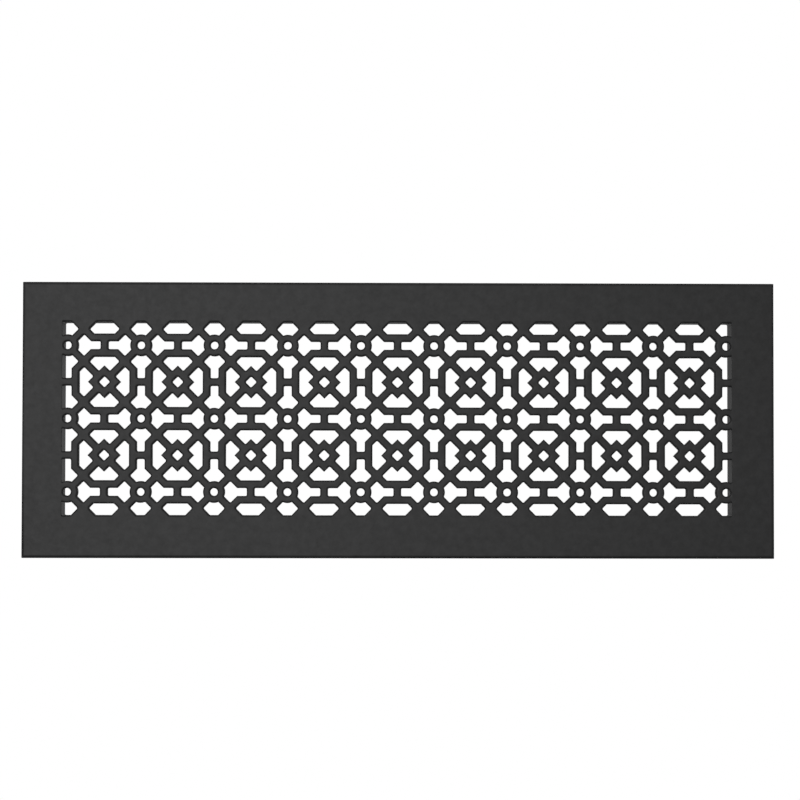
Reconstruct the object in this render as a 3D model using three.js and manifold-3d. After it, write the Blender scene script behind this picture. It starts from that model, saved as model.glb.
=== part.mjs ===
// A cast aluminium air grille: a flat rectangular plate, pierced by a lattice of octagons,
// crossed straps, diamonds and small rings, with a shallow collar behind its field.
// Millimetres, +Z up. The plate stands upright and faces -Y. The back of its border lies in
// the plane y = 0, and the origin is the middle of the plate in that plane.

import * as THREE from "three";
import { mergeVertices } from "three/addons/utils/BufferGeometryUtils.js";
import Module from "manifold-3d";

const wasm = await Module();
wasm.setup();

// The plate, and the border round its pierced field. The pattern was cast a little off centre.
const PLATE_WIDTH = 559;
const PLATE_HEIGHT = 205;
const PLATE_THICKNESS = 6.35;
const PLATE_EDGE_ROUND = 1.5;
const BORDER_LEFT = 29.5;
const BORDER_RIGHT = 31.5;
const BORDER_TOP = 29.5;
const BORDER_BOTTOM = 31.5;

// The collar that drops into the duct. Its inside is flush with the edge of the field.
const COLLAR_DEPTH = 17;
const COLLAR_WALL = 3;

// The lattice. A reach is measured from the centre of a star to a corner.
const STAR_COLUMNS = 9;
const END_RING_INSET = 4;
const STRAP_WIDTH = 5.5;
const GAP_BETWEEN_OCTAGONS = 6.1;
const DIAMOND_REACH = 12;
const DIAMOND_HOLE_REACH = 4.4;
const RING_RADIUS = 8;
const RING_HOLE_RADIUS = 3;

// A gap in the lattice smaller than this, in square millimetres, fills with metal.
const SMALLEST_OPENING = 12;

// How finely round shapes are faceted.
const RING_SIDES = 20;
const RING_HOLE_SIDES = 10;
const EDGE_FACETS = 2;

// How far a cutting solid runs past what it cuts.
const CUT_CLEARANCE = 1;

const COAT_COLOUR = 0x2c2c2d;
const COAT_ROUGHNESS = 0.55;
const COAT_METALNESS = 0;

const frontY = -PLATE_THICKNESS;
const fieldWidth = PLATE_WIDTH - BORDER_LEFT - BORDER_RIGHT;
const fieldHeight = PLATE_HEIGHT - BORDER_TOP - BORDER_BOTTOM;
const fieldCentre = new THREE.Vector2(
  (BORDER_LEFT - BORDER_RIGHT) / 2,
  (BORDER_BOTTOM - BORDER_TOP) / 2,
);

// The lattice is square. Its end rings stand in from the two ends of the field, and its rows
// run on past the top and bottom, where the border cuts them off.
const pitch = (fieldWidth - 2 * END_RING_INSET) / STAR_COLUMNS;
const rowsEachWay = Math.ceil(fieldHeight / 2 / pitch);
const octagonInside = (pitch - GAP_BETWEEN_OCTAGONS) / 2 - STRAP_WIDTH;

const range = (from, to) => Array.from({ length: to - from + 1 }, (_, step) => from + step);

// Centres are counted in pitches from the middle of the field.
const latticePoint = (column, row) =>
  new THREE.Vector2(column * pitch, row * pitch).add(fieldCentre);
const starColumns = range(1, STAR_COLUMNS).map((star) => star - (STAR_COLUMNS + 1) / 2);
const ringColumns = range(0, STAR_COLUMNS).map((ring) => ring - STAR_COLUMNS / 2);
const starRows = range(-rowsEachWay, rowsEachWay - 1).map((row) => row + 1 / 2);
const ringRows = range(-rowsEachWay, rowsEachWay);

const centresOf = (columns, rows) =>
  columns.flatMap((column) => rows.map((row) => latticePoint(column, row)));
const starCentres = centresOf(starColumns, starRows);
const ringCentres = centresOf(ringColumns, ringRows);

// A star that the border cuts off has no diamond.
const wholeStarCentres = starCentres.filter(
  (centre) => Math.abs(centre.y - fieldCentre.y) + DIAMOND_REACH < fieldHeight / 2,
);

// A closed mesh as a solid that can be joined and cut.
function solidOf(geometry) {
  geometry.deleteAttribute("normal");
  geometry.deleteAttribute("uv");
  const merged = mergeVertices(geometry);
  return new wasm.Manifold(
    new wasm.Mesh({
      numProp: 3,
      vertProperties: merged.attributes.position.array,
      triVerts: new Uint32Array(merged.index.array),
    }),
  );
}

// The solid back as a geometry for a mesh, with its flat faces in as few triangles as they need.
function geometryOf(solid) {
  const mesh = solid.asOriginal().simplify().getMesh();
  const geometry = new THREE.BufferGeometry();
  geometry.setAttribute(
    "position",
    new THREE.BufferAttribute(new Float32Array(mesh.vertProperties), mesh.numProp),
  );
  geometry.setIndex(new THREE.BufferAttribute(new Uint32Array(mesh.triVerts), 1));
  geometry.computeVertexNormals();
  return geometry;
}

const joined = (solids) => solids.reduce((all, next) => all.add(next));

// An outline in the plane of the plate, run from one depth y to another.
function prism(outline, nearY, farY) {
  const geometry = new THREE.ExtrudeGeometry(new THREE.Shape(outline), {
    depth: farY - nearY,
    bevelEnabled: false,
  });
  return solidOf(geometry.rotateX(Math.PI / 2).translate(0, farY, 0));
}

// A prism that runs out past both faces of the plate, to shape or to cut what is pierced.
const throughPlate = (outline) =>
  prism(outline, frontY - CUT_CLEARANCE, CUT_CLEARANCE);

function rectangle(centre, width, height) {
  return [
    new THREE.Vector2(centre.x - width / 2, centre.y - height / 2),
    new THREE.Vector2(centre.x + width / 2, centre.y - height / 2),
    new THREE.Vector2(centre.x + width / 2, centre.y + height / 2),
    new THREE.Vector2(centre.x - width / 2, centre.y + height / 2),
  ];
}

function regularPolygon(centre, sides, radius, firstAngle) {
  return range(0, sides - 1).map((corner) => {
    const angle = firstAngle + (corner * 2 * Math.PI) / sides;
    return new THREE.Vector2(
      centre.x + radius * Math.cos(angle),
      centre.y + radius * Math.sin(angle),
    );
  });
}

const diamond = (centre, reach) => regularPolygon(centre, 4, reach, 0);

const circle = (centre, sides, radius) =>
  regularPolygon(centre, sides, radius, Math.PI / sides);

// An octagon that stands on a flat side, by the distance from its centre to its sides.
const octagon = (centre, toSide) =>
  regularPolygon(centre, 8, toSide / Math.cos(Math.PI / 8), Math.PI / 8);

// A straight strap of the lattice between two points.
function strap(from, to) {
  const half = to.clone().sub(from).setLength(STRAP_WIDTH / 2);
  const aside = new THREE.Vector2(-half.y, half.x);
  return throughPlate([
    from.clone().sub(aside),
    to.clone().sub(aside),
    to.clone().add(aside),
    from.clone().add(aside),
  ]);
}

// Octagons of straps, tied to their neighbours and to the border by bars along every row and
// column, which stop at the octagons.
function tiedOctagons() {
  const [left, right] = [-fieldWidth, fieldWidth].map((width) => width / 2 / pitch);
  const bars = [
    ...starRows.map((row) => strap(latticePoint(left, row), latticePoint(right, row))),
    ...starColumns.map((column) =>
      strap(latticePoint(column, -rowsEachWay), latticePoint(column, rowsEachWay)),
    ),
  ];
  const outsides = starCentres.map((centre) =>
    throughPlate(octagon(centre, octagonInside + STRAP_WIDTH)),
  );
  const insides = starCentres.map((centre) =>
    throughPlate(octagon(centre, octagonInside)),
  );
  return joined([...bars, ...outsides]).subtract(joined(insides));
}

// The two straps that cross in each octagon and run on to the four rings round it.
function crossedStraps() {
  return starColumns.flatMap((column) =>
    starRows.flatMap((row) =>
      [-1 / 2, 1 / 2].map((rise) =>
        strap(
          latticePoint(column - 1 / 2, row - rise),
          latticePoint(column + 1 / 2, row + rise),
        ),
      ),
    ),
  );
}

function lattice() {
  const metal = [
    tiedOctagons(),
    ...crossedStraps(),
    ...wholeStarCentres.map((centre) => throughPlate(diamond(centre, DIAMOND_REACH))),
    ...ringCentres.map((centre) => throughPlate(circle(centre, RING_SIDES, RING_RADIUS))),
  ];
  const holes = [
    ...wholeStarCentres.map((centre) =>
      throughPlate(diamond(centre, DIAMOND_HOLE_REACH)),
    ),
    ...ringCentres.map((centre) =>
      throughPlate(circle(centre, RING_HOLE_SIDES, RING_HOLE_RADIUS)),
    ),
  ];
  return joined(metal).subtract(joined(holes));
}

// What the lattice leaves open in the field, but for gaps too small to cast.
function openings() {
  const length = PLATE_THICKNESS + 2 * CUT_CLEARANCE;
  const field = throughPlate(rectangle(fieldCentre, fieldWidth, fieldHeight));
  return field
    .subtract(lattice())
    .decompose()
    .filter((opening) => opening.volume() / length > SMALLEST_OPENING);
}

// The whole plate with its rounded outer edges, before the field is pierced.
function plateBlank() {
  const outline = rectangle(new THREE.Vector2(0, 0), PLATE_WIDTH, PLATE_HEIGHT);
  const geometry = new THREE.ExtrudeGeometry(new THREE.Shape(outline), {
    depth: PLATE_THICKNESS - 2 * PLATE_EDGE_ROUND,
    bevelThickness: PLATE_EDGE_ROUND,
    bevelSize: PLATE_EDGE_ROUND,
    bevelOffset: -PLATE_EDGE_ROUND,
    bevelSegments: EDGE_FACETS,
  });
  return solidOf(geometry.rotateX(Math.PI / 2).translate(0, -PLATE_EDGE_ROUND, 0));
}

// The collar starts inside the thickness of the border, so that the two are one casting.
function collar() {
  const outside = rectangle(
    fieldCentre,
    fieldWidth + 2 * COLLAR_WALL,
    fieldHeight + 2 * COLLAR_WALL,
  );
  const inside = rectangle(fieldCentre, fieldWidth, fieldHeight);
  return prism(outside, frontY / 2, COLLAR_DEPTH).subtract(
    prism(inside, frontY, COLLAR_DEPTH + CUT_CLEARANCE),
  );
}

const grilleCasting = () => plateBlank().subtract(joined(openings())).add(collar());

const powderCoat = new THREE.MeshStandardMaterial({
  color: COAT_COLOUR,
  roughness: COAT_ROUGHNESS,
  metalness: COAT_METALNESS,
});

const airGrille = new THREE.Group();
const grille = new THREE.Mesh(geometryOf(grilleCasting()), powderCoat);
grille.name = "grille";
airGrille.add(grille);

export default airGrille;
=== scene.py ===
import math

import bpy
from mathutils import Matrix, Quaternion, Vector


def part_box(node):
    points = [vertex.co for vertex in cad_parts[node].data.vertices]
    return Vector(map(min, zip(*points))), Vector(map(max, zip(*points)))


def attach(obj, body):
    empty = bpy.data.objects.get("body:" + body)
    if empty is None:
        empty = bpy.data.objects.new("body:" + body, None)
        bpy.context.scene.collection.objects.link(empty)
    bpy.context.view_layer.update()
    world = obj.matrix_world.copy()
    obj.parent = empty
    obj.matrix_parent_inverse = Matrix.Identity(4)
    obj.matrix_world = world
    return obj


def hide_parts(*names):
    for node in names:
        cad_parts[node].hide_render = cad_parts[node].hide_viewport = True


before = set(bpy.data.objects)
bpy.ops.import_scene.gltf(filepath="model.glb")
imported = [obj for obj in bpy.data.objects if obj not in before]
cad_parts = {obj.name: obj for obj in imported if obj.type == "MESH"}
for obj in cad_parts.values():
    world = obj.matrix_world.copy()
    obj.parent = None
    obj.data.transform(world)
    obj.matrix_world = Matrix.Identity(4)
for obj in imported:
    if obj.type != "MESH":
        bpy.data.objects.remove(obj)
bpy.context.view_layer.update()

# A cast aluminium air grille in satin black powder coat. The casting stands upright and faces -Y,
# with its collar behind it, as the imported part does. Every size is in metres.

MM = 0.001

# The plate, its border and its collar.
plate_low, plate_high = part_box("grille")
PLATE_WIDTH = plate_high.x - plate_low.x
PLATE_HEIGHT = plate_high.z - plate_low.z
PLATE_THICKNESS = -plate_low.y
COLLAR_DEPTH = plate_high.y
COLLAR_WALL = 3 * MM
BORDER_LEFT = 29.5 * MM
BORDER_RIGHT = 31.5 * MM
BORDER_TOP = 29.5 * MM
BORDER_BOTTOM = 31.5 * MM

# The lattice. A reach is measured from the centre of a star to a corner.
STAR_COLUMNS = 9
STAR_ROWS = 4
WHOLE_STAR_ROWS = 2
END_RING_INSET = 4 * MM
STRAP_WIDTH = 5.5 * MM
GAP_BETWEEN_OCTAGONS = 6.1 * MM
DIAMOND_REACH = 12 * MM
DIAMOND_HOLE_REACH = 4.4 * MM
RING_RADIUS = 8 * MM
RING_HOLE_RADIUS = 3 * MM

# A gap in the lattice with less area than this fills with metal.
SMALLEST_OPENING = 12 * MM * MM

# Corners of an opening that lie nearer to each other than this become one.
NEAREST_CORNERS = 0.5 * MM

# How the foundry's pattern and the coat soften the metal.
COAT_THICKNESS = 0.12 * MM
CORNER_FILLET = 1.1 * MM
FRONT_ROUND = 1.5 * MM
BACK_ROUND = 0.3 * MM
PLATE_CORNER_RADIUS = 0.9 * MM
PLATE_FRONT_ROUND = 2.6 * MM
COLLAR_CORNER_RADIUS = 2.5 * MM
COLLAR_RIM_ROUND = 0.6 * MM
COLLAR_FOOT = 1.5 * MM
UNEVENNESS = 0.12 * MM
UNEVEN_SCALE = 25.0
UNEVEN_DETAIL = 1.0

# The two ends of the field are crisp: their front rounds are only this share of the others.
END_ROUND_SHARE = 0.25

# How finely round and uneven shapes are divided.
RING_SIDES = 36
RING_HOLE_SIDES = 24
OPENING_CORNER_STEPS = 3
OPENING_FRONT_STEPS = 4
OPENING_BACK_STEPS = 1
RIM_FRONT_STEPS = 6
RIM_BACK_STEPS = 2
OUTER_CORNER_STEPS = 4
COLLAR_RIM_STEPS = 3
COLLAR_SIDE_CUTS = 19
FOOT_SIDES = 4

# Corners of the outlines that turn less than this, as a sine, are part of an arc.
GENTLE_TURN = 0.35

# A fillet takes no more than this share of the shorter side at its corner.
FILLET_SHARE = 0.48

# The collar is thicker than its wall by this on each side, so that its foot's corners lie in it.
COLLAR_OVERLAP = 0.02 * MM

# Points of the mesh that lie nearer to each other than this become one.
WELD = 0.001 * MM

# Faces that meet at more than this angle keep a hard edge between them. Along all other edges
# the larger face decides the shading, wholly at a weight of 100.
CREASE = math.radians(40)
LARGER_FACE_WEIGHT = 100

FIELD_WIDTH = PLATE_WIDTH - BORDER_LEFT - BORDER_RIGHT
FIELD_HEIGHT = PLATE_HEIGHT - BORDER_TOP - BORDER_BOTTOM
FIELD_CENTRE = ((BORDER_LEFT - BORDER_RIGHT) / 2, (BORDER_BOTTOM - BORDER_TOP) / 2, 0)
PITCH = (FIELD_WIDTH - 2 * END_RING_INSET) / STAR_COLUMNS
OCTAGON_INSIDE = (PITCH - GAP_BETWEEN_OCTAGONS) / 2 - STRAP_WIDTH

# The camera, where the photograph was taken from.
CAMERA_PLACE = Vector((-0.0233, -1.7142, -0.0325))
CAMERA_AIM = Vector((0.0009, 0, 0.0153))
CAMERA_ROLL = math.radians(0.1)
CAMERA_LENS = 103.5
SENSOR_WIDTH = 36

# The powder coat. Its tone, its gloss and its height follow one grain.
GRAIN_SCALE = 220
GRAIN_DETAIL = 3
GRAIN_ROUGHNESS = 0.6
GRAIN_HEIGHT = 0.05 * MM
LOW_TONE = (0.013, 0.013, 0.0132, 1)
HIGH_TONE = (0.037, 0.037, 0.0378, 1)
LOW_ROUGHNESS = 0.52
HIGH_ROUGHNESS = 0.46
COAT_SPECULAR = 0.5

# The sockets of a Mix node that mixes colours.
FIRST_COLOUR = 6
SECOND_COLOUR = 7
MIXED_COLOUR = 2

# The studio floor.
FLOOR_HEIGHT = -1.2
FLOOR_REACH = 6
FLOOR_CORNERS = 128
FLOOR_TONE = 0.5
FLOOR_ROUGHNESS = 0.9
FLOOR_GLOW = 0.5

# The lights. A brightness is a radiance.
SOFTBOX_PLACE = (-0.52, -2.6, 0.25)
SOFTBOX_SIDE = 1.5
SOFTBOX_BRIGHTNESS = 2.45
BACK_FILL_PLACE = (0, 3.2, 0)
BACK_FILL_SIDE = 3.6
BACK_FILL_BRIGHTNESS = 0.36
BACK_LIGHT_PLACE = (1.5, 2.3, 1.2)
BACK_LIGHT_SIDE = 1.5
BACK_LIGHT_BRIGHTNESS = 9

# The light of the air from level with the grille, for its tone and for its reflections, and how
# many times as bright it is from straight below and from straight above.
AIR_LIGHT = 0.45
AIR_IN_REFLECTIONS = 0.06
AIR_FROM_BELOW = 0.3
AIR_FROM_ABOVE = 1.7


class Tree:
    """A Geometry Nodes tree while it is made, with a named input for each of its sizes."""

    def __init__(self, name):
        self.group = bpy.data.node_groups.new(name, "GeometryNodeTree")
        self.group.interface.new_socket(
            "Casting", in_out="OUTPUT", socket_type="NodeSocketGeometry"
        )
        self.given = self.group.nodes.new("NodeGroupInput")
        self.values = {}

    def input(self, name, value, kind="NodeSocketFloat"):
        socket = self.group.interface.new_socket(name, in_out="INPUT", socket_type=kind)
        self.values[socket.identifier] = value
        return self.given.outputs[name]

    def node(self, kind, inputs, output=0, **settings):
        """Adds a node and links or sets its inputs. A list links several things to one input."""
        made = self.group.nodes.new(kind)
        for name, value in settings.items():
            setattr(made, name, value)
        for socket, values in inputs.items():
            for value in values if isinstance(values, list) else [values]:
                if isinstance(value, bpy.types.NodeSocket):
                    self.group.links.new(value, made.inputs[socket])
                else:
                    made.inputs[socket].default_value = value
        return made.outputs[output]

    def math(self, operation, *values):
        return self.node("ShaderNodeMath", dict(enumerate(values)), operation=operation)

    def vector(self, x, y, z):
        return self.node("ShaderNodeCombineXYZ", {"X": x, "Y": y, "Z": z})

    def vector_math(self, operation, *values, output="Vector"):
        inputs = dict(enumerate(values))
        return self.node("ShaderNodeVectorMath", inputs, output, operation=operation)

    def part_of(self, vector, axis):
        return self.node("ShaderNodeSeparateXYZ", {"Vector": vector}, axis)

    def both(self, *conditions):
        return self.node("FunctionNodeBooleanMath", dict(enumerate(conditions)), operation="AND")

    def joined(self, *parts):
        return self.node("GeometryNodeJoinGeometry", {"Geometry": list(parts)})

    def moved(self, part, by=(0, 0, 0), turned=(0, 0, 0)):
        inputs = {"Geometry": part, "Translation": by, "Rotation": turned}
        return self.node("GeometryNodeTransform", inputs)

    def flipped(self, mesh):
        return self.node("GeometryNodeFlipFaces", {"Mesh": mesh})

    def welded(self, mesh, distance):
        return self.node("GeometryNodeMergeByDistance", {"Geometry": mesh, "Distance": distance})

    def repeated(self, shape, points):
        return self.node("GeometryNodeInstanceOnPoints", {"Points": points, "Instance": shape})

    def union(self, *solids):
        inputs = {"Mesh 2": list(solids)}
        return self.node(
            "GeometryNodeMeshBoolean", inputs, operation="UNION", solver="MANIFOLD"
        )

    def common(self, *solids):
        inputs = {"Mesh 2": list(solids)}
        return self.node(
            "GeometryNodeMeshBoolean", inputs, operation="INTERSECT", solver="MANIFOLD"
        )

    def cut(self, solid, *cutters):
        inputs = {"Mesh 1": solid, "Mesh 2": list(cutters)}
        return self.node(
            "GeometryNodeMeshBoolean", inputs, operation="DIFFERENCE", solver="MANIFOLD"
        )

    def mesh_of(self, geometry):
        """Ends the tree, runs it on an object and returns the result as a plain mesh."""
        end = self.group.nodes.new("NodeGroupOutput")
        self.group.links.new(geometry, end.inputs["Casting"])
        holder = bpy.data.objects.new("holder", bpy.data.meshes.new("holder"))
        bpy.context.scene.collection.objects.link(holder)
        modifier = holder.modifiers.new("casting", "NODES")
        modifier.node_group = self.group
        for identifier, value in self.values.items():
            modifier[identifier] = value
        evaluated = holder.evaluated_get(bpy.context.evaluated_depsgraph_get())
        mesh = bpy.data.meshes.new_from_object(evaluated)
        holder.modifiers.remove(modifier)
        bpy.data.objects.remove(holder)
        return mesh


class Outline:
    """What the tree knows of an outline at each of its points: its neighbours and its turn."""

    def __init__(self, tree):
        self.tree = tree
        self.here = tree.node("GeometryNodeInputPosition", {})
        came = tree.vector_math("SUBTRACT", self.here, self.neighbour(-1))
        goes = tree.vector_math("SUBTRACT", self.neighbour(1), self.here)
        before = tree.vector_math("NORMALIZE", came)
        after = tree.vector_math("NORMALIZE", goes)
        across = tree.vector_math("CROSS_PRODUCT", before, after)
        self.sine = tree.part_of(across, "Z")
        self.cosine = tree.vector_math("DOT_PRODUCT", before, after, output="Value")
        self.shorter_side = tree.math(
            "MINIMUM",
            tree.vector_math("LENGTH", came, output="Value"),
            tree.vector_math("LENGTH", goes, output="Value"),
        )

    def neighbour(self, step):
        tree = self.tree
        index = tree.node("GeometryNodeInputIndex", {})
        there = tree.node(
            "GeometryNodeOffsetPointInCurve",
            {"Point Index": index, "Offset": step},
            "Point Index",
        )
        return tree.node(
            "GeometryNodeFieldAtIndex",
            {"Index": there, "Value": self.here},
            data_type="FLOAT_VECTOR",
        )

    def filleted(self, curve, radius, segments):
        """Rounds an outline's corners as far as its sides have room, and leaves its tips sharp."""
        tree = self.tree
        half_turn = tree.math("MULTIPLY", tree.math("ARCCOSINE", self.cosine), 0.5)
        free_side = tree.math("MULTIPLY", self.shorter_side, FILLET_SHARE)
        room = tree.math("DIVIDE", free_side, tree.math("TANGENT", half_turn))
        is_corner = tree.math("GREATER_THAN", self.sine, GENTLE_TURN)
        reach = tree.math("MULTIPLY", tree.math("MINIMUM", radius, room), is_corner)
        inputs = {"Curve": curve, "Count": segments, "Radius": reach}
        return tree.node("GeometryNodeFilletCurve", inputs, mode="POLY")

    def uneven(self, curve, amount, scale):
        """Moves the points a little, in the plane of the plate, as sand and shrinkage do."""
        tree = self.tree
        inputs = {"Vector": self.here, "Scale": scale, "Detail": UNEVEN_DETAIL}
        noise = tree.node("ShaderNodeTexNoise", inputs, "Color")
        about_zero = tree.vector_math("SUBTRACT", noise, (0.5, 0.5, 0.5))
        reach = tree.math("MULTIPLY", amount, 2)
        offset = tree.vector_math("MULTIPLY", about_zero, tree.vector(reach, reach, 0))
        return tree.node("GeometryNodeSetPosition", {"Geometry": curve, "Offset": offset})


def lattice_straps(tree, thickness, field_centre):
    """Octagons tied by bars, crossed straps, diamonds and rings, taller than the plate is thick."""
    pitch = tree.input("Pitch", PITCH)
    columns = tree.input("Star Columns", STAR_COLUMNS, "NodeSocketInt")
    rows = tree.input("Star Rows", STAR_ROWS, "NodeSocketInt")
    whole_rows = tree.input("Whole Star Rows", WHOLE_STAR_ROWS, "NodeSocketInt")
    strap = tree.input("Strap Width", STRAP_WIDTH)
    octagon_inside = tree.input("Octagon Inside", OCTAGON_INSIDE)
    diamond_reach = tree.input("Diamond Reach", DIAMOND_REACH)
    diamond_hole_reach = tree.input("Diamond Hole Reach", DIAMOND_HOLE_REACH)
    ring_radius = tree.input("Ring Radius", RING_RADIUS)
    ring_hole_radius = tree.input("Ring Hole Radius", RING_HOLE_RADIUS)
    member_depth = tree.math("MULTIPLY", thickness, 2)

    def places(across, up):
        sides = {"Vertices X": across, "Vertices Y": up}
        for size, count in (("Size X", across), ("Size Y", up)):
            sides[size] = tree.math("MULTIPLY", tree.math("SUBTRACT", count, 1), pitch)
        return tree.moved(tree.node("GeometryNodeMeshGrid", sides), by=field_centre)

    def prism(sides, radius, turn=0.0):
        inputs = {"Vertices": sides, "Radius": radius, "Depth": member_depth}
        return tree.moved(tree.node("GeometryNodeMeshCylinder", inputs), turned=(0, 0, turn))

    def octagon(to_side):
        to_corner = tree.math("DIVIDE", to_side, math.cos(math.pi / 8))
        return prism(8, to_corner, math.pi / 8)

    def bar(length, width, turn=0.0):
        size = tree.vector(length, width, member_depth)
        return tree.moved(tree.node("GeometryNodeMeshCube", {"Size": size}), turned=(0, 0, turn))

    stars = places(columns, rows)
    whole_stars = places(columns, whole_rows)
    rings = places(tree.math("ADD", columns, 1), tree.math("ADD", rows, 1))

    tie = tree.math("ADD", pitch, tree.math("MULTIPLY", strap, 2))
    tied_octagons = tree.union(
        tree.repeated(octagon(tree.math("ADD", octagon_inside, strap)), stars),
        tree.repeated(bar(tie, strap), stars),
        tree.repeated(bar(strap, tie), stars),
    )
    cross = tree.math("MULTIPLY", pitch, math.sqrt(2))
    metal = tree.union(
        tree.cut(tied_octagons, tree.repeated(octagon(octagon_inside), stars)),
        tree.repeated(bar(cross, strap, math.pi / 4), stars),
        tree.repeated(bar(cross, strap, -math.pi / 4), stars),
        tree.repeated(prism(4, diamond_reach), whole_stars),
        tree.repeated(prism(RING_SIDES, ring_radius), rings),
    )
    return tree.cut(
        metal,
        tree.repeated(prism(4, diamond_hole_reach), whole_stars),
        tree.repeated(prism(RING_HOLE_SIDES, ring_hole_radius), rings),
    )


def lattice_openings(tree, thickness, field, field_centre):
    """The outlines of what the lattice leaves open in the field, but for gaps too small to cast."""
    smallest = tree.input("Smallest Opening", SMALLEST_OPENING)
    nearest = tree.input("Nearest Corners", NEAREST_CORNERS)
    straps = lattice_straps(tree, thickness, field_centre)
    block_size = tree.vector(*field, thickness)
    block = tree.moved(tree.node("GeometryNodeMeshCube", {"Size": block_size}), by=field_centre)
    openings = tree.welded(tree.cut(block, straps), nearest)

    faces_up = tree.math(
        "GREATER_THAN", tree.part_of(tree.node("GeometryNodeInputNormal", {}), "Z"), 0.5
    )
    area = tree.node("GeometryNodeInputMeshFaceArea", {})
    kept = tree.both(faces_up, tree.math("GREATER_THAN", area, smallest))
    inputs = {"Mesh": openings, "Selection": kept}
    return tree.node("GeometryNodeMeshToCurve", inputs, mode="FACES")


def wall_section(tree, thickness, front_round, back_round, front_steps, back_steps):
    """The edge of the plate in section: x runs into the metal, and y is the depth from the front."""
    back_start = tree.math("SUBTRACT", thickness, back_round)

    def quarter(radius, centre, start, steps):
        inputs = {
            "Resolution": steps + 1,
            "Radius": radius,
            "Start Angle": start,
            "Sweep Angle": -math.pi / 2,
        }
        return tree.moved(tree.node("GeometryNodeCurveArc", inputs, mode="RADIUS"), by=centre)

    front_centre = tree.vector(front_round, front_round, 0)
    back_centre = tree.vector(back_round, back_start, 0)
    wall_ends = {"Start": tree.vector(0, front_round, 0), "End": tree.vector(0, back_start, 0)}
    return tree.joined(
        quarter(front_round, front_centre, 3 * math.pi / 2, front_steps),
        tree.node("GeometryNodeCurvePrimitiveLine", wall_ends, mode="POINTS"),
        quarter(back_round, back_centre, math.pi, back_steps),
    )


def swept(tree, outline, section):
    upright = tree.node("GeometryNodeSetCurveNormal", {"Curve": outline}, mode="Z_UP")
    return tree.node("GeometryNodeCurveToMesh", {"Curve": upright, "Profile Curve": section})


def upright_prism(tree, outline_curve, reach):
    """A prism on an outline in the plane of the front, which reaches as far above it as below."""
    lid = tree.node("GeometryNodeFillCurve", {"Curve": outline_curve})
    base = tree.moved(lid, by=tree.vector(0, 0, tree.math("MULTIPLY", reach, -1)))
    inputs = {
        "Mesh": base,
        "Offset": (0, 0, 1),
        "Offset Scale": tree.math("MULTIPLY", reach, 2),
        "Individual": False,
    }
    raised = tree.node("GeometryNodeExtrudeMesh", inputs, mode="FACES")
    return tree.welded(tree.joined(raised, tree.flipped(base)), WELD)


def crisp_at_the_ends(tree, walls, here, field, field_centre, front_round, coat_thickness):
    """Shrinks the front rounds along the two ends of the field to a share of all others."""
    share = tree.input("End Round Share", END_ROUND_SHARE)
    slack = tree.input("End Wall Slack", 2 * UNEVENNESS)
    across = tree.part_of(tree.vector_math("SUBTRACT", here, field_centre), "X")
    height = tree.part_of(here, "Z")
    end_wall = tree.math("SUBTRACT", tree.math("MULTIPLY", field[0], 0.5), coat_thickness)
    beyond = tree.math("SUBTRACT", tree.math("ABSOLUTE", across), end_wall)
    is_outside = tree.math("GREATER_THAN", tree.math("ADD", beyond, slack), 0)
    round_foot = tree.math("ADD", front_round, WELD)
    is_high = tree.math("GREATER_THAN", tree.math("ADD", height, round_foot), 0)
    shrink = tree.math("SUBTRACT", share, 1)
    inward = tree.math("MULTIPLY", beyond, shrink)
    sideways = tree.math("MULTIPLY", inward, tree.math("SIGN", across))
    inputs = {
        "Geometry": walls,
        "Selection": tree.both(is_outside, is_high),
        "Offset": tree.vector(sideways, 0, tree.math("MULTIPLY", height, shrink)),
    }
    return tree.node("GeometryNodeSetPosition", inputs)


def opening_walls(tree, here, openings, field, field_centre, thickness, back_round):
    """The coated walls of all openings, with softened edges."""
    front_round = tree.input("Opening Front Round", FRONT_ROUND)
    coat_thickness = tree.input("Coat Thickness", COAT_THICKNESS)
    level = tree.vector_math("MULTIPLY", here, (1, 1, 0))
    flat_openings = tree.node("GeometryNodeSetPosition", {"Geometry": openings, "Position": level})
    coat_offset = tree.vector(tree.math("MULTIPLY", coat_thickness, -1), 0, 0)
    section = wall_section(
        tree, thickness, front_round, back_round, OPENING_FRONT_STEPS, OPENING_BACK_STEPS
    )
    walls = swept(tree, flat_openings, tree.moved(section, by=coat_offset))
    return crisp_at_the_ends(tree, walls, here, field, field_centre, front_round, coat_thickness)


def rim_wall(tree, rectangle, thickness, back_round):
    """The wall round a rectangle's outside. A sweep narrows its section at a square corner by the
    root of two, so the section is made wider by as much first."""
    front_round = tree.input("Plate Front Round", PLATE_FRONT_ROUND)
    section = wall_section(
        tree, thickness, front_round, back_round, RIM_FRONT_STEPS, RIM_BACK_STEPS
    )
    widened = {"Geometry": section, "Scale": (math.sqrt(2), 1, 1)}
    return swept(
        tree,
        tree.node("GeometryNodeReverseCurve", {"Curve": rectangle}),
        tree.node("GeometryNodeTransform", widened),
    )


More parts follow.
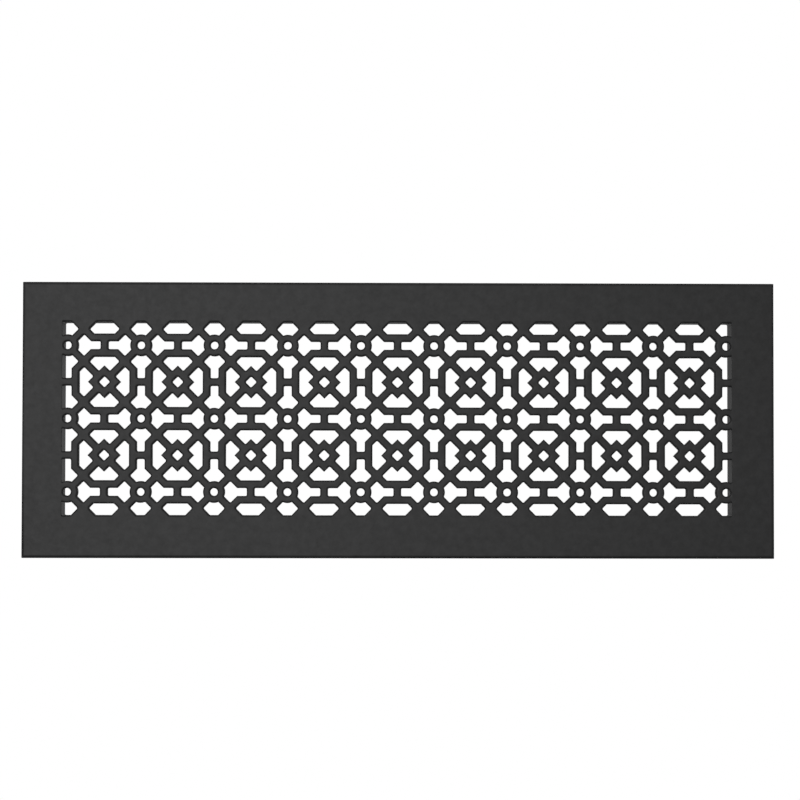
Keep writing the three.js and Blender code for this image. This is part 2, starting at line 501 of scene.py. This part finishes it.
def pierced_plate(tree, outline, openings, field, field_centre, thickness):
    """The plate with softened edges round its outside and in every opening, as one closed mesh."""
    width = tree.input("Plate Width", PLATE_WIDTH)
    height = tree.input("Plate Height", PLATE_HEIGHT)
    corner_radius = tree.input("Plate Corner Radius", PLATE_CORNER_RADIUS)
    back_round = tree.input("Back Round", BACK_ROUND)

    rectangle = tree.node(
        "GeometryNodeCurvePrimitiveQuadrilateral", {"Width": width, "Height": height}
    )
    inner_walls = opening_walls(
        tree, outline.here, openings, field, field_centre, thickness, back_round
    )
    outer_wall = rim_wall(tree, rectangle, thickness, back_round)
    walls = tree.welded(tree.flipped(tree.joined(inner_walls, outer_wall)), WELD)

    faces_met = tree.node("GeometryNodeInputMeshEdgeNeighbors", {})
    on_the_brink = tree.node(
        "FunctionNodeCompare", {"A": faces_met, "B": 1}, data_type="INT", operation="EQUAL"
    )
    height_here = tree.part_of(outline.here, "Z")
    mid_height = tree.math("MULTIPLY", thickness, -0.5)

    def face(side, depth):
        brink = tree.both(on_the_brink, tree.math(side, height_here, mid_height))
        loops = tree.node("GeometryNodeMeshToCurve", {"Mesh": walls, "Selection": brink})
        return tree.moved(
            tree.node("GeometryNodeFillCurve", {"Curve": loops}), by=tree.vector(0, 0, depth)
        )

    front = face("GREATER_THAN", 0)
    back = tree.flipped(face("LESS_THAN", tree.math("MULTIPLY", thickness, -1)))
    plate = tree.welded(tree.joined(walls, front, back), WELD)
    rounded = outline.filleted(rectangle, corner_radius, OUTER_CORNER_STEPS)
    return tree.common(plate, upright_prism(tree, rounded, tree.math("MULTIPLY", thickness, 2)))


def drop_in_collar(tree, outline, field, field_centre, thickness, unevenness):
    """The wall behind the field, from inside the plate's thickness to its rim, and its foot."""
    depth = tree.input("Collar Depth", COLLAR_DEPTH)
    wall = tree.input("Collar Wall", COLLAR_WALL)
    corner_radius = tree.input("Collar Corner Radius", COLLAR_CORNER_RADIUS)
    rim_round = tree.input("Collar Rim Round", COLLAR_RIM_ROUND)
    foot = tree.input("Collar Foot", COLLAR_FOOT)
    overlap = tree.input("Collar Overlap", COLLAR_OVERLAP)
    mid_plate = tree.math("MULTIPLY", thickness, 0.5)

    def run_round(clear):
        sides = {
            "Width": tree.math("ADD", field[0], clear),
            "Height": tree.math("ADD", field[1], clear),
        }
        rectangle = tree.node("GeometryNodeCurvePrimitiveQuadrilateral", sides)
        inputs = {"Curve": rectangle, "Cuts": COLLAR_SIDE_CUTS}
        divided = tree.node("GeometryNodeSubdivideCurve", inputs)
        rounded = outline.filleted(divided, corner_radius, OUTER_CORNER_STEPS)
        return outline.uneven(tree.moved(rounded, by=field_centre), *unevenness)

    height = tree.math("ADD", depth, mid_plate)
    box = tree.node(
        "GeometryNodeCurvePrimitiveQuadrilateral",
        {"Width": tree.math("ADD", wall, tree.math("MULTIPLY", overlap, 2)), "Height": height},
    )
    inputs = {"Curve": box, "Count": COLLAR_RIM_STEPS, "Radius": rim_round}
    section = tree.node("GeometryNodeFilletCurve", inputs, mode="POLY")
    half_height = tree.math("MULTIPLY", height, 0.5)
    section = tree.moved(section, by=tree.vector(0, tree.math("ADD", half_height, mid_plate), 0))
    foot_section = tree.moved(
        tree.node("GeometryNodeCurvePrimitiveCircle", {"Resolution": FOOT_SIDES, "Radius": foot}),
        by=tree.vector(0, thickness, 0),
    )
    outside = tree.math("MULTIPLY", wall, 2)
    return (
        swept(tree, run_round(wall), section),
        swept(tree, run_round(outside), foot_section),
    )


def stood_upright(tree, casting, thickness):
    """Turns the casting to face -Y, with the plate's back in the plane y = 0."""
    raised = tree.moved(casting, by=tree.vector(0, 0, thickness))
    return tree.moved(raised, turned=(math.pi / 2, 0, 0))


def finished(tree, casting, coat):
    """Shades the casting smooth but for its hard edges, and coats it."""
    finish = tree.input("Finish", coat, "NodeSocketMaterial")
    smooth = tree.node("GeometryNodeSetShadeSmooth", {"Geometry": casting}, domain="FACE")
    angle = tree.node("GeometryNodeInputMeshEdgeAngle", {}, "Unsigned Angle")
    inputs = {
        "Geometry": smooth,
        "Selection": tree.math("GREATER_THAN", angle, CREASE),
        "Shade Smooth": False,
    }
    creased = tree.node("GeometryNodeSetShadeSmooth", inputs, domain="EDGE")
    real = tree.node("GeometryNodeRealizeInstances", {"Geometry": creased})
    return tree.node("GeometryNodeSetMaterial", {"Geometry": real, "Material": finish})


def grille_casting(coat):
    """The whole casting, made lying flat with its front at z = 0 and then stood upright."""
    tree = Tree("pierced grille casting")
    thickness = tree.input("Plate Thickness", PLATE_THICKNESS)
    field = (tree.input("Field Width", FIELD_WIDTH), tree.input("Field Height", FIELD_HEIGHT))
    field_centre = tree.input("Field Centre", FIELD_CENTRE, "NodeSocketVector")
    corner = tree.input("Corner Fillet", CORNER_FILLET)
    unevenness = (
        tree.input("Unevenness", UNEVENNESS),
        tree.input("Uneven Scale", UNEVEN_SCALE),
    )
    outline = Outline(tree)
    openings = lattice_openings(tree, thickness, field, field_centre)
    openings = outline.filleted(openings, corner, OPENING_CORNER_STEPS)
    openings = outline.uneven(openings, *unevenness)
    plate = pierced_plate(tree, outline, openings, field, field_centre, thickness)
    collar, foot = drop_in_collar(tree, outline, field, field_centre, thickness, unevenness)
    casting = tree.union(plate, collar, foot)
    upright = stood_upright(tree, casting, thickness)
    return tree.mesh_of(finished(tree, upright, coat))


def shader(material):
    """The material's surface shader and a function that adds a node before it."""
    material.use_nodes = True
    nodes = material.node_tree.nodes
    links = material.node_tree.links

    def add(kind, inputs, output=0, **settings):
        made = nodes.new(kind)
        for name, value in settings.items():
            setattr(made, name, value)
        for socket, value in inputs.items():
            if isinstance(value, bpy.types.NodeSocket):
                links.new(value, made.inputs[socket])
            else:
                made.inputs[socket].default_value = value
        return made.outputs[output]

    surface = nodes["Principled BSDF"]

    def link(value, socket):
        links.new(value, surface.inputs[socket])

    return surface, add, link


def powder_coat():
    """Satin black powder coat, whose orange peel also varies its tone and its gloss a little."""
    material = bpy.data.materials.new("satin_black_powder_coat")
    surface, add, link = shader(material)
    surface.inputs["Specular IOR Level"].default_value = COAT_SPECULAR
    grain = add(
        "ShaderNodeTexNoise",
        {
            "Vector": add("ShaderNodeTexCoord", {}, "Object"),
            "Scale": GRAIN_SCALE,
            "Detail": GRAIN_DETAIL,
            "Roughness": GRAIN_ROUGHNESS,
        },
    )
    tones = {"Factor": grain, FIRST_COLOUR: LOW_TONE, SECOND_COLOUR: HIGH_TONE}
    link(add("ShaderNodeMix", tones, MIXED_COLOUR, data_type="RGBA"), "Base Color")
    gloss = {"Value": grain, "To Min": LOW_ROUGHNESS, "To Max": HIGH_ROUGHNESS}
    link(add("ShaderNodeMapRange", gloss), "Roughness")
    peel = {"Height": grain, "Strength": 1, "Distance": GRAIN_HEIGHT}
    link(add("ShaderNodeBump", peel), "Normal")
    return material


def pale_floor():
    material = bpy.data.materials.new("pale_floor")
    surface, _, _ = shader(material)
    surface.inputs["Base Color"].default_value = (FLOOR_TONE, FLOOR_TONE, FLOOR_TONE, 1)
    surface.inputs["Roughness"].default_value = FLOOR_ROUGHNESS
    surface.inputs["Emission Color"].default_value = (1, 1, 1, 1)
    surface.inputs["Emission Strength"].default_value = FLOOR_GLOW
    return material


def studio_floor():
    """A round pale floor well below the grille, which sends no light up to it."""
    turns = [2 * math.pi * corner / FLOOR_CORNERS for corner in range(FLOOR_CORNERS)]
    rim = [(FLOOR_REACH * math.cos(t), FLOOR_REACH * math.sin(t), FLOOR_HEIGHT) for t in turns]
    mesh = bpy.data.meshes.new("floor")
    mesh.from_pydata(rim, [], [range(FLOOR_CORNERS)])
    mesh.materials.append(pale_floor())
    floor = bpy.data.objects.new("floor", mesh)
    floor.visible_diffuse = False
    floor.visible_glossy = False
    bpy.context.scene.collection.objects.link(floor)


def panel_light(name, place, side, brightness):
    """A square panel of soft light, turned to the grille, that the camera doesn't see."""
    lamp = bpy.data.lights.new(name, "AREA")
    lamp.shape = "SQUARE"
    lamp.size = side
    lamp.energy = math.pi * side * side * brightness
    made = bpy.data.objects.new(name, lamp)
    made.location = place
    made.rotation_euler = (-Vector(place)).to_track_quat("-Z", "Y").to_euler()
    made.visible_camera = False
    bpy.context.scene.collection.objects.link(made)
    return made


def soft_lights():
    """A softbox in front, a wide fill behind, and a high light behind without reflections."""
    panel_light("softbox", SOFTBOX_PLACE, SOFTBOX_SIDE, SOFTBOX_BRIGHTNESS)
    panel_light("back_fill", BACK_FILL_PLACE, BACK_FILL_SIDE, BACK_FILL_BRIGHTNESS)
    back_light = panel_light(
        "back_light", BACK_LIGHT_PLACE, BACK_LIGHT_SIDE, BACK_LIGHT_BRIGHTNESS
    )
    back_light.visible_glossy = False


def studio_air():
    """Soft light from all round, less from below and little in reflections, that looks white."""
    world = bpy.data.worlds.new("studio_air")
    world.use_nodes = True
    nodes = world.node_tree.nodes
    links = world.node_tree.links
    ray = nodes.new("ShaderNodeLightPath")
    air = nodes.new("ShaderNodeMapRange")
    air.inputs["To Min"].default_value = AIR_LIGHT
    air.inputs["To Max"].default_value = AIR_IN_REFLECTIONS
    links.new(ray.outputs["Is Glossy Ray"], air.inputs["Value"])
    direction = nodes.new("ShaderNodeTexCoord")
    upward = nodes.new("ShaderNodeSeparateXYZ")
    links.new(direction.outputs["Generated"], upward.inputs["Vector"])
    rise = nodes.new("ShaderNodeMapRange")
    rise.inputs["From Min"].default_value = -1
    rise.inputs["To Min"].default_value = AIR_FROM_BELOW
    rise.inputs["To Max"].default_value = AIR_FROM_ABOVE
    links.new(upward.outputs["Z"], rise.inputs["Value"])
    layered_air = nodes.new("ShaderNodeMath")
    layered_air.operation = "MULTIPLY"
    links.new(air.outputs["Result"], layered_air.inputs[0])
    links.new(rise.outputs["Result"], layered_air.inputs[1])
    seen = nodes.new("ShaderNodeMath")
    seen.operation = "MAXIMUM"
    links.new(ray.outputs["Is Camera Ray"], seen.inputs[0])
    links.new(layered_air.outputs["Value"], seen.inputs[1])
    background = nodes["Background"]
    background.inputs["Color"].default_value = (1, 1, 1, 1)
    links.new(seen.outputs["Value"], background.inputs["Strength"])
    bpy.context.scene.world = world


def camera():
    lens = bpy.data.cameras.new("camera")
    lens.lens = CAMERA_LENS
    lens.sensor_width = SENSOR_WIDTH
    made = bpy.data.objects.new("camera", lens)
    towards = (CAMERA_AIM - CAMERA_PLACE).to_track_quat("-Z", "Y")
    made.location = CAMERA_PLACE
    made.rotation_mode = "QUATERNION"
    made.rotation_quaternion = towards @ Quaternion((0, 0, 1), CAMERA_ROLL)
    bpy.context.scene.collection.objects.link(made)
    bpy.context.scene.camera = made


def grille():
    mesh = grille_casting(powder_coat())
    mesh.name = "air_grille"
    piece = bpy.data.objects.new("air_grille", mesh)
    bpy.context.scene.collection.objects.link(piece)
    even = piece.modifiers.new("flat faces stay flat", "WEIGHTED_NORMAL")
    even.keep_sharp = True
    even.weight = LARGER_FACE_WEIGHT
    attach(piece, "root")
    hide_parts("grille")


camera()
grille()
studio_floor()
soft_lights()
studio_air()
bpy.context.scene.view_settings.view_transform = "Standard"
